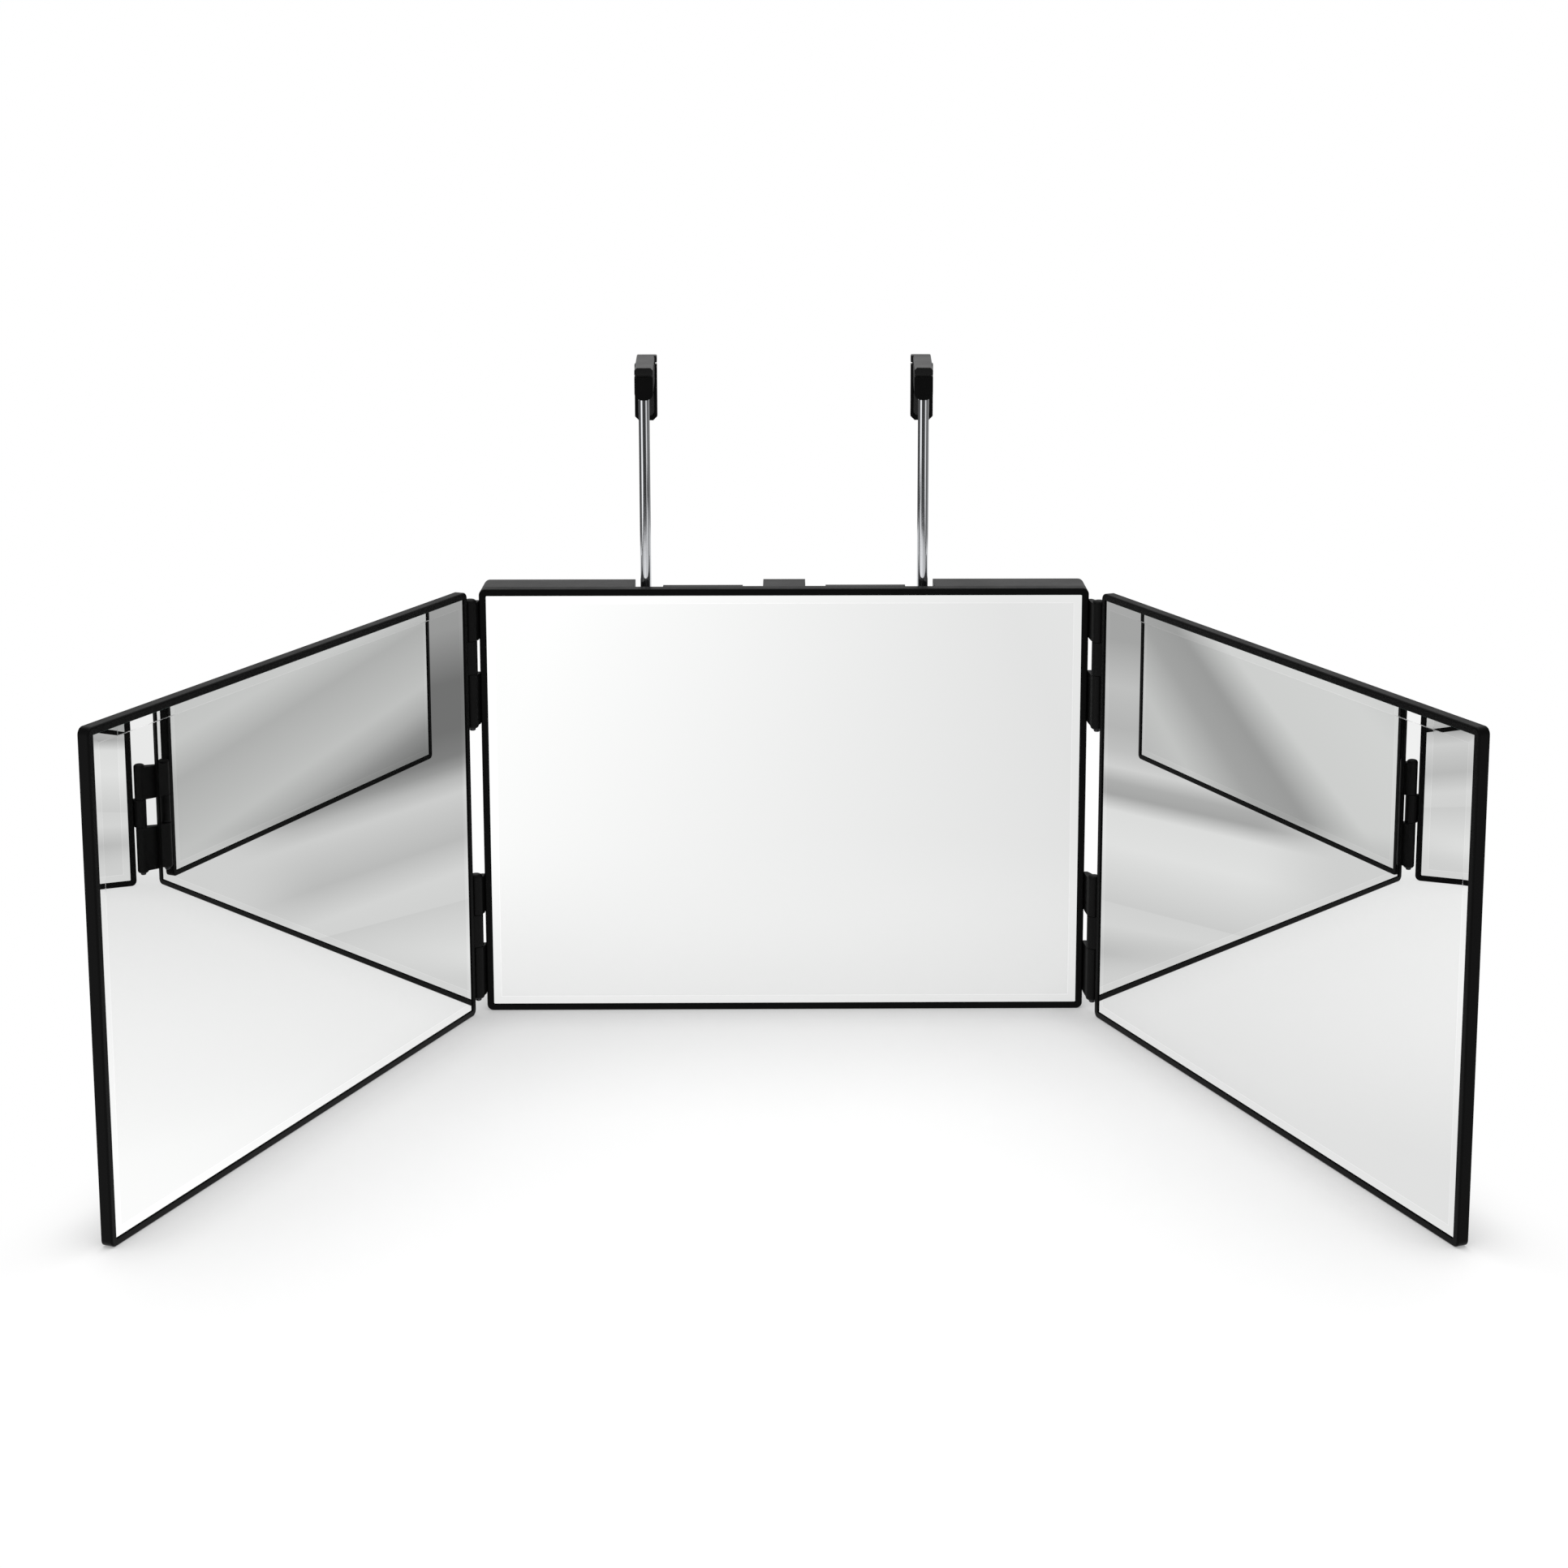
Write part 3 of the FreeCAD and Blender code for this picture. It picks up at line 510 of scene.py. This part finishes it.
# a head seen from its driving side: a square grid drawn onto a disc, with a cross sunk into it;
# the cross is deepest in the middle, and its arms' walls lean a little
def crossHead(radius, domeHigh, look):
    half, reach, lean = look["crossHalf"], look["crossLength"], look["wallLean"]
    marks = (half - lean, half + lean, reach - lean, reach + lean)
    even = np.linspace(-1, 1, look["steps"])
    steps = np.unique(np.round(np.concatenate((even, marks, np.negative(marks))), 4))
    a, b = np.meshgrid(steps, steps, indexing="ij")
    x, z = a * np.sqrt(1 - b ** 2 / 2), b * np.sqrt(1 - a ** 2 / 2)
    small, large = np.minimum(np.abs(a), np.abs(b)), np.maximum(np.abs(a), np.abs(b))
    sunk = ((small < half) & (large < reach)) * (1.0 - look["crossRise"] * large / reach)
    out = domeHigh * (1 - x ** 2 - z ** 2) - look["crossDeep"] * radius * sunk
    return steps, np.stack((radius * x, out, radius * z), axis=-1).reshape(-1, 3)


# a screw along Y: the head's face, then rings of (radius, distance behind the face's rim) down to the tip
def screwBody(radius, domeHigh, rings, look):
    steps, head = crossHead(radius, domeHigh, look)
    count = len(steps)
    quads, edge = squareGrid(count)
    rim = head[edge][:, (0, 2)] / radius
    rows = [
        np.column_stack((ring * rim[:, 0], np.full(len(rim), -away), ring * rim[:, 1]))
        for ring, away in rings
    ]
    band = len(edge)
    start = count * count
    firstRow = start + np.arange(band)
    walls = np.stack((edge, np.roll(edge, -1), np.roll(firstRow, -1), firstRow), axis=-1)
    faces = quads.tolist() + walls.tolist()
    below = bandFaces(len(rows), band)
    faces += [[start + corner for corner in face] for face in below[:-2] + below[-1:]]
    return np.vstack([head] + rows), faces


# several copies of one screw as a single piece
def screwSet(node, one, places, place, body):
    points, faces = one
    moved = np.vstack([place(points + np.array(spot)) for spot in places])
    allFaces = [[corner + k * len(points) for corner in face] for k in range(len(places)) for face in faces]
    addPiece(camel(node), moved, allFaces, ["screwZinc"], body, [node], screwLook["smooth"])


def panHead(look):
    size = look["housing"]
    under = size["high"] - size["dome"]
    rings = [(size["radius"], size["edge"]), (size["radius"], under), (size["shank"], under),
             (size["shank"], size["seat"] + under - size["shankEnd"])]
    return screwBody(size["radius"] - size["edge"], size["dome"], rings, look)


def countersunkHead(look):
    size = look["wing"]
    rings = [(size["shank"], size["skin"]), (size["shank"], size["skin"] + size["shankLength"])]
    return screwBody(size["radius"], 0.0, rings, look)


headTop = screwLook["housing"]["seat"] + screwLook["housing"]["high"] - screwLook["housing"]["dome"]
spots = [(sign * x, headTop, z) for sign in (-1, 1) for x, z in screwLook["housingPlaces"]]
screwSet("housing_screws", panHead(screwLook), spots, lambda points: points, "centre")
small = screwLook["wing"]
for body in folds:
    heights = [z + step * small["pitch"] / 2 for z in screwLook["wingHeights"] for step in (-1, 1)]
    spots = [(small["inset"], small["back"], z) for z in heights]
    one = countersunkHead(screwLook)
    screwSet(body + "_hinge_screws", one, spots, lambda points: onPanel(points, body), body)

for side, sign in (("left", -1), ("right", 1)):
    polishedRod(side, sign, rodLook)
    foamPad(side, sign, padLook)
print("rods, hook pads and screws made")

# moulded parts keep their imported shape, with their sharp edges broken
# by the node's last words: its finish and that of faces turned to the back, slot, and edge in mm
mouldings = {
    "back_housing": ("housingPlastic", "housingPlastic", "frame_black", 0.30),
    "_frame": ("framePlastic", "housingPlastic", "frame_black", 0.18),
    "_leaf": ("hingePlastic", "hingePlastic", "hinge_black", 0.16),
    "_hook_body": ("hookPlastic", "hookPlastic", "hook_black", 0.30),
    "_hook_cap": ("capPlastic", "capPlastic", "hook_black", 0.20),
}
mouldLook = dict(
    merge=0.001, flatBelow=0.5,            # mm and degrees: points and faces that are joined
    hardAbove=28.0, rings=2,               # degrees, and the steps of the round on such an edge
    backwardAbove=0.99, faceWeight=100,    # cosine to straight back; how far large faces lead the shading
)


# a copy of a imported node, its doubles merged and flat faces joined, with a small round on hard edges
def softened(look, nodeName, finish, backFinish, slot, edge):
    name = camel(nodeName)
    mesh = frame["nodes"][nodeName].data.copy()
    mesh.name = name
    shell = bmesh.new()
    shell.from_mesh(mesh)
    bmesh.ops.remove_doubles(shell, verts=shell.verts, dist=look["merge"] * mm)
    flatBelow = math.radians(look["flatBelow"])
    bmesh.ops.dissolve_limit(shell, angle_limit=flatBelow, verts=shell.verts, edges=shell.edges)
    shell.to_mesh(mesh)
    shell.free()
    bodies = frame["record"]["behaviour"]["bodies"]
    body = next(each for each, names in bodies.items() if nodeName in names)
    mesh.materials.clear()
    mesh.materials.append(materials[finish])
    if backFinish != finish:
        mesh.materials.append(materials[backFinish])
        backwards = np.diff(onPanel(np.array([(0.0, 0.0, 0.0), (0.0, 1.0, 0.0)]), body), axis=0)[0]
        facing = np.array([face.normal for face in mesh.polygons]) @ backwards
        mesh.polygons.foreach_set("material_index", (facing > look["backwardAbove"]).astype(int))
    mesh.polygons.foreach_set("use_smooth", np.ones(len(mesh.polygons), bool))
    made = bpy.data.objects.new(name, mesh)
    rounding = made.modifiers.new("brokenEdges", "BEVEL")
    rounding.width = edge * mm
    rounding.segments = look["rings"]
    rounding.limit_method = "ANGLE"
    rounding.angle_limit = math.radians(look["hardAbove"])
    flat = made.modifiers.new("flatFaces", "WEIGHTED_NORMAL")
    flat.weight = look["faceWeight"]
    settle(made, body, [nodeName])


for nodeName in sorted(frame["nodes"]):
    for ending, finish in mouldings.items():
        if nodeName.endswith(ending):
            softened(mouldLook, nodeName, *finish)
print("moulded parts made")

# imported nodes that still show, by the last words of their names
finishes = {
    "_tape": "tapeFoam", "_hinge_pin": "pinSteel", "_screws": "screwZinc", "_clip": "screwZinc",
    "_rod_stop": "bushPlastic", "_rod_bush": "bushPlastic", "_tube": "tubeSteel",
}
for nodeName, node in frame["nodes"].items():
    for ending, finish in finishes.items():
        if nodeName.endswith(ending):
            node.data.materials.clear()
            node.data.materials.append(materials[finish])
print("packed nodes dressed")

# floor, world and lamps: metal and glass see a studio round the mirror, with a pale table, and a dim
# room beyond it with soft lights
floorLook = dict(
    size=9.0, colour=0.82, lift=0.25,              # half its width in metres, the paper and its own glow
    nearLow=0.50, nearHigh=0.85,                   # metres out, where the paper turns into the backdrop
    wingFoot=(0.149, 0.015, 0.425),                # each wing's foot: its hinge out and forward, and its lean
    outsideLow=-0.015, outsideHigh=0.06,           # beyond the wings the paper turns white too
    contactReach=0.03, contactDark=0.50,           # painted contact shadow, darkening close to the mirror
    tableLow=1.28, tableHigh=1.36,                 # metres out, where the table ends in reflections
    glossNearLow=0.16, glossNearHigh=0.34, glossNear=0.30,            # the share of paper that they keep
    bright=0.985, brightFurther=0.05,              # painted light: the table's brightness, and more of it further off
    towardsLamp=0.70, towardsLow=-0.40, towardsHigh=0.36, towardsReach=0.19,    # and more towards the left
)
worldLook = dict(fill=0.60)
# turn from straight ahead in degrees, left is minus, and the room's brightness there
roomLow = [
    (-180, 0.12), (-118, 0.10), (-76, 0.10), (-62, 1.50), (-44, 1.50), (-30, 0.07), (30, 0.07), (40, 1.10),
    (54, 1.10), (68, 0.10), (95, 0.24), (125, 0.42), (150, 0.25), (180, 0.12),
]
roomHigh = [
    (-180, 0.62), (-140, 0.62), (-115, 0.16), (-72, 0.12), (-58, 0.95), (-36, 0.95), (-24, 0.11), (24, 0.11),
    (36, 0.62), (56, 0.62), (70, 0.12), (115, 0.16), (140, 0.62), (180, 0.62),
]
# the same for the table as a second reflection finds it, by metres to either side
deepLook = dict(
    shear=0.20, upright=0.37, slope=0.6, maskLow=-0.04, maskHigh=0.03, pale=0.84, reach=0.80,
    right=[(0.0, 0.80), (0.09, 0.88), (0.135, 0.66), (0.18, 0.76), (0.205, 0.82), (0.23, 0.64), (0.25, 0.42),
           (0.27, 0.28), (0.32, 0.22), (0.42, 0.22), (0.55, 0.42), (0.80, 0.50)],
    left=[(0.0, 0.80), (0.09, 1.00), (0.15, 0.96), (0.18, 0.50), (0.205, 0.56), (0.235, 0.84), (0.27, 0.70),
          (0.32, 0.62), (0.42, 0.70), (0.55, 0.50), (0.80, 0.50)],
)
lampLook = [
    dict(name="topSoftbox", place=(0.0, 0.10, 1.55), size=(1.9, 1.5), power=13.5),
    dict(name="frontFill", place=(0.0, -2.1, 1.2), size=(1.6, 1.0), power=3.0),
]


# 1 for rays from the camera and for those that metal and glass send on; also their path node
def seenAsBackground(tree):
    path = addNode(tree, "ShaderNodeLightPath")
    both = calc(tree, "MAXIMUM", path.outputs["Is Camera Ray"], path.outputs["Is Glossy Ray"])
    return calc(tree, "MAXIMUM", both, path.outputs["Is Transmission Ray"]), path


# a brightness that follows a value from low to high through stops of (value, brightness)
def byStops(tree, value, stops, low, high):
    ramp = addNode(tree, "ShaderNodeValToRGB", {0: spread(tree, value, low, high, 0.0, 1.0)})
    marks = ramp.color_ramp.elements
    while len(marks) < len(stops):
        marks.new(0.5)
    for mark, (at, bright) in zip(marks, stops):
        mark.position = (at - low) / (high - low)
        mark.color = grey(bright)
    return ramp.outputs["Color"]


# brightness of the room by compass direction from the mirror, as metal and glass see it
def roomAround(tree, place, stops):
    split = addNode(tree, "ShaderNodeSeparateXYZ", {0: place})
    ahead = calc(tree, "MULTIPLY", split.outputs["Y"], -1.0)
    angle = calc(tree, "MULTIPLY", calc(tree, "ARCTAN2", split.outputs["X"], ahead), 180.0 / math.pi)
    return byStops(tree, angle, stops, -180.0, 180.0)


def distanceFrom(tree, place, centre):
    offset = addNode(tree, "ShaderNodeVectorMath", {0: place, 1: centre}, operation="SUBTRACT").outputs[0]
    return addNode(tree, "ShaderNodeVectorMath", {0: offset}, operation="LENGTH").outputs["Value"]


def mixShaders(tree, share, low, high):
    return addNode(tree, "ShaderNodeMixShader", {0: share, 1: low, 2: high}).outputs[0]


def glow(tree, colour, strength=1.0):
    return addNode(tree, "ShaderNodeEmission", {"Color": colour, "Strength": strength}).outputs[0]


# what a second reflection finds on the table: soft upright shades, other ones to the left and right,
# and none close beside the mirror, where the point is further out than it is forward
def deepTable(tree, x, forward, look):
    out = calc(tree, "ABSOLUTE", x)
    lean = calc(tree, "MULTIPLY", calc(tree, "SUBTRACT", forward, look["upright"]), look["shear"])
    leaning = calc(tree, "SUBTRACT", out, lean)
    toRight = byStops(tree, leaning, look["right"], 0.0, look["reach"])
    toLeft = byStops(tree, out, look["left"], 0.0, look["reach"])
    sided = blendColour(tree, calc(tree, "GREATER_THAN", x, 0.0), toLeft, toRight)
    inFront = calc(tree, "SUBTRACT", forward, calc(tree, "MULTIPLY", out, look["slope"]))
    shown = spread(tree, inFront, look["maskLow"], look["maskHigh"], 0.0, 1.0, smooth=True)
    return blendColour(tree, shown, grey(look["pale"]), sided)


# near the mirror the floor is paper that keeps its shadow and a painted contact shadow; beyond the wings it
# is the white backdrop with that painted contact shadow, and further off plain white backdrop; reflections
# find a table with painted light, brighter towards the left
def floorPaper(look):
    made = bpy.data.materials.new("floorPaper")
    made.use_nodes = True
    tree = made.node_tree
    tree.nodes.clear()
    place = objectPlace(tree)
    background, path = seenAsBackground(tree)
    split = addNode(tree, "ShaderNodeSeparateXYZ", {0: place})
    x, forward = split.outputs["X"], calc(tree, "MULTIPLY", split.outputs["Y"], -1.0)
    away = distanceFrom(tree, place, (0.0, 0.0, 0.0))

    # painted contact shadow: ambient occlusion darkens the paper's colour close to the mirror
    closed = addNode(tree, "ShaderNodeAmbientOcclusion", {"Distance": look["contactReach"]}, samples=8)
    paintedContactShadow = spread(tree, closed.outputs["AO"], 0.0, 1.0, 1.0 - look["contactDark"], 1.0)
    paper = addNode(
        tree, "ShaderNodeBsdfDiffuse", {"Color": calc(tree, "MULTIPLY", paintedContactShadow, look["colour"])}
    ).outputs[0]
    lit = addNode(tree, "ShaderNodeAddShader", {0: paper, 1: glow(tree, grey(1.0), look["lift"])}).outputs[0]
    hingeX, hingeForward, lean = look["wingFoot"]
    wingLine = calc(tree, "MULTIPLY_ADD", forward, lean, hingeX - hingeForward * lean)
    beyond = calc(tree, "SUBTRACT", calc(tree, "ABSOLUTE", x), wingLine)
    outside = spread(tree, beyond, look["outsideLow"], look["outsideHigh"], 0.0, 1.0, smooth=True)
    around = mixShaders(tree, outside, lit, glow(tree, paintedContactShadow))
    near = spread(tree, away, look["nearLow"], look["nearHigh"], 1.0, 0.0, smooth=True)
    shown = mixShaders(tree, near, glow(tree, grey(1.0)), around)

    # painted light: reflections find the table brighter further off and towards the left
    towards = spread(
        tree, forward, look["towardsLow"], look["towardsHigh"], 0.0, look["towardsLamp"], smooth=True
    )
    reach = look["towardsReach"]
    clamped = calc(tree, "MAXIMUM", calc(tree, "MINIMUM", x, reach), -reach)
    bright = calc(tree, "MULTIPLY_ADD", forward, look["brightFurther"], look["bright"])
    bright = calc(tree, "SUBTRACT", bright, calc(tree, "MULTIPLY", towards, clamped))
    glossNear = spread(
        tree, away, look["glossNearLow"], look["glossNearHigh"], look["glossNear"], 0.0, smooth=True
    )
    first = mixShaders(tree, glossNear, glow(tree, grey(1.0), bright), lit)
    deep = calc(tree, "GREATER_THAN", path.outputs["Ray Depth"], 1.5)
    onTable = mixShaders(tree, deep, first, glow(tree, deepTable(tree, x, forward, deepLook)))
    table = spread(tree, away, look["tableLow"], look["tableHigh"], 1.0, 0.0, smooth=True)
    mirrored = mixShaders(tree, table, glow(tree, roomAround(tree, place, roomLow)), onTable)
    seen = mixShaders(tree, path.outputs["Is Glossy Ray"], shown, mirrored)
    end = tree.nodes.new("ShaderNodeOutputMaterial")
    tree.links.new(mixShaders(tree, background, paper, seen), end.inputs["Surface"])
    return made


def makeFloor(look):
    half = look["size"]
    mesh = bpy.data.meshes.new("floor")
    mesh.from_pydata(
        [(-half, -half, 0.0), (half, -half, 0.0), (half, half, 0.0), (-half, half, 0.0)], [], [(0, 1, 2, 3)]
    )
    mesh.materials.append(floorPaper(look))
    floor = bpy.data.objects.new("floor", mesh)
    bpy.context.scene.collection.objects.link(floor)


def makeWorld(look):
    world = bpy.data.worlds.new("studio")
    bpy.context.scene.world = world
    world.use_nodes = True
    tree = world.node_tree
    tree.nodes.clear()
    background, path = seenAsBackground(tree)
    direction = addNode(tree, "ShaderNodeTexCoord").outputs["Generated"]
    backdrop = blendColour(
        tree, path.outputs["Is Glossy Ray"], grey(1.0), roomAround(tree, direction, roomHigh)
    )
    colour = blendColour(tree, background, grey(look["fill"]), backdrop)
    light = addNode(tree, "ShaderNodeBackground", {"Color": colour, "Strength": 1.0})
    end = tree.nodes.new("ShaderNodeOutputWorld")
    tree.links.new(light.outputs[0], end.inputs["Surface"])


def makeLamp(look):
    data = bpy.data.lights.new(look["name"], "AREA")
    data.shape = "RECTANGLE"
    data.size, data.size_y = look["size"]
    data.energy = look["power"]
    made = bpy.data.objects.new(look["name"], data)
    bpy.context.scene.collection.objects.link(made)
    made.location = look["place"]
    toMirror = -made.location
    made.rotation_euler = toMirror.to_track_quat("-Z", "Y").to_euler()


makeFloor(floorLook)
makeWorld(worldLook)
for look in lampLook:
    makeLamp(look)
print("studio made")
